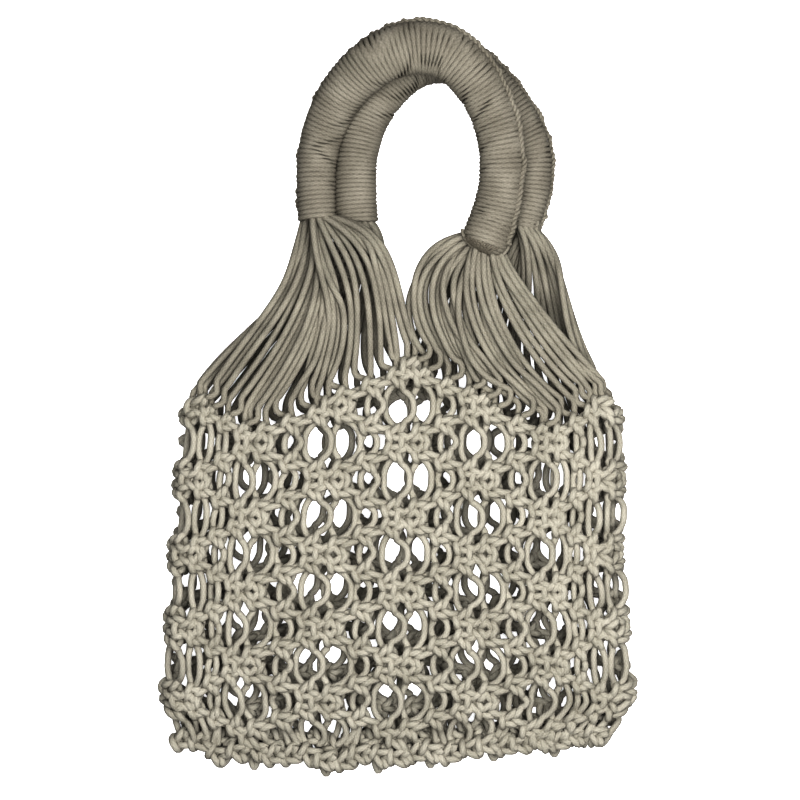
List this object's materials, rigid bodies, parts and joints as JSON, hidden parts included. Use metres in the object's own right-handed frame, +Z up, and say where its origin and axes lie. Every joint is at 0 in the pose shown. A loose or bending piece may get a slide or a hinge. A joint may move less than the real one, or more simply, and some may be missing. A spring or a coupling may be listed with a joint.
{
  "type": "macrame beach bag",
  "caption": "Open net beach bag of knotted cotton cord, lying flat, with two wound horseshoe handles and bare cords that fan out to the net.",
  "frame": {"origin": "middle of the bag's outline, on the surface that it lies on", "axes": "+Z up from the surface, +Y from the net towards the handles, +X to the right seen from above"},
  "size_m": [0.3342, 0.5306, 0.0625],
  "materials": {
    "wound_cord": "matte cotton cord, wound tight",
    "bare_cord": "matte cotton cord, loose",
    "knotted_cord": "matte cotton cord, in square knots"
  },
  "bodies": {
    "root": {"handle_front": "wound_cord", "handle_back": "wound_cord", "strands_front_left": "bare_cord", "strands_front_right": "bare_cord", "strands_back_left": "bare_cord", "strands_back_right": "bare_cord", "net": "knotted_cord", "bottom_row": "knotted_cord"}
  },
  "joints": []
}
